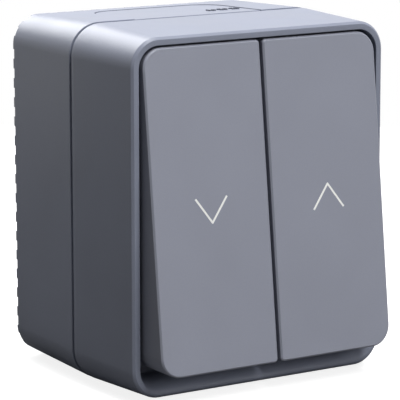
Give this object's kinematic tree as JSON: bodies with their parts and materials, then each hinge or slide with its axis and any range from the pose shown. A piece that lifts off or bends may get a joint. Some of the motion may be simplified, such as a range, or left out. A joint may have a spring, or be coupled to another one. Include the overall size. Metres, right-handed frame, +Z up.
{
  "type": "roller shutter switch",
  "caption": "Surface-mounted roller shutter switch: grey two-part housing with bezel, side by side tilted push rockers marked down and up, contacts and terminals inside.",
  "frame": {"origin": "middle of the four wall holes, on the wall plane behind the switch", "axes": "+Z up, +X to the right seen from the front, +Y into the wall, so the rockers face -Y"},
  "size_m": [0.072, 0.0645, 0.086],
  "materials": {
    "housing": "fine matt moulded ABS",
    "rocker": "smooth satin moulded ABS",
    "arrow": "white inlay",
    "rubber": "matt",
    "steel": "zinc plated",
    "insulator": "matt",
    "brass": "satin",
    "silver": "satin silver tip"
  },
  "bodies": {
    "housing": {"back_box": "housing", "top_insert": "housing", "bottom_insert": "housing", "cable_membrane": "rubber", "cover_seal": "rubber", "front_cover": "housing", "cover_screws": "steel", "hinge_pin": "steel", "plunger_seals": "rubber", "support_frame": "steel", "frame_screws": "steel", "mechanism_base": "insulator", "guide_plate": "insulator", "mechanism_cover": "insulator", "mechanism_screws": "steel", "line_terminal": "brass", "down_terminal": "brass", "up_terminal": "brass", "terminal_screws": "steel", "fixed_contacts": "silver", "down_spring": "steel", "up_spring": "steel"},
    "down_rocker": {"down_rocker": "rocker", "down_arrow": "arrow"},
    "up_rocker": {"up_rocker": "rocker", "up_arrow": "arrow"},
    "down_plunger": {"down_plunger": "insulator", "down_bridge": "brass", "down_tips": "silver"},
    "up_plunger": {"up_plunger": "insulator", "up_bridge": "brass", "up_tips": "silver"}
  },
  "joints": [
    {"name": "down_press", "type": "hinge", "parent": "housing", "child": "down_rocker", "pos_m": [0, -0.0515, 0.0366], "axis": [1, 0, 0], "range_deg": [0, 3], "stiffness_Nm_per_rad": 0.3, "springref_deg": -14.32},
    {"name": "down_plunge", "type": "slide", "parent": "housing", "child": "down_plunger", "axis": [0, 1, 0], "range_m": [0, 0.00255], "deforming": ["down_spring"]},
    {"name": "up_press", "type": "hinge", "parent": "housing", "child": "up_rocker", "pos_m": [0, -0.0515, 0.0366], "axis": [1, 0, 0], "range_deg": [0, 3], "stiffness_Nm_per_rad": 0.3, "springref_deg": -14.32},
    {"name": "up_plunge", "type": "slide", "parent": "housing", "child": "up_plunger", "axis": [0, 1, 0], "range_m": [0, 0.00255], "deforming": ["up_spring"]}
  ],
  "couplings": [
    {"joint": "down_plunge", "follows": "down_press", "m_per_rad": 0.0486},
    {"joint": "up_plunge", "follows": "up_press", "m_per_rad": 0.0486}
  ]
}
